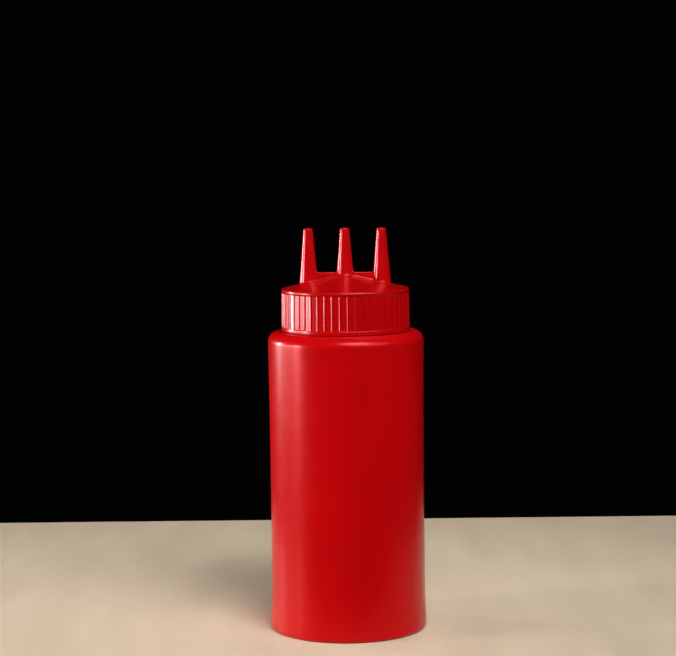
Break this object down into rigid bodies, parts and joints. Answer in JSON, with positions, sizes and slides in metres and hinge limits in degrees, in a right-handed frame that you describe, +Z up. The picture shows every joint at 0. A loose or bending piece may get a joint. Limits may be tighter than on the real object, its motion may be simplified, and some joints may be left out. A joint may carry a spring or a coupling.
{
  "type": "squeeze bottle",
  "caption": "Upright round squeeze bottle in red plastic with a ribbed screw cap and a row of tapered sauce nozzles joined by a thin web.",
  "frame": {"origin": "middle of the base, on the surface that the bottle stands on", "axes": "+Z up along the bottle's axis; the nozzles stand in a row along X"},
  "size_m": [0.0706, 0.0706, 0.1812],
  "materials": {
    "bottle_plastic": "opaque red blow-moulded polyethylene, satin gloss",
    "cap_plastic": "opaque red injection-moulded polyethylene, gloss"
  },
  "bodies": {
    "root": {"bottle": "bottle_plastic", "cap": "cap_plastic"}
  },
  "joints": []
}
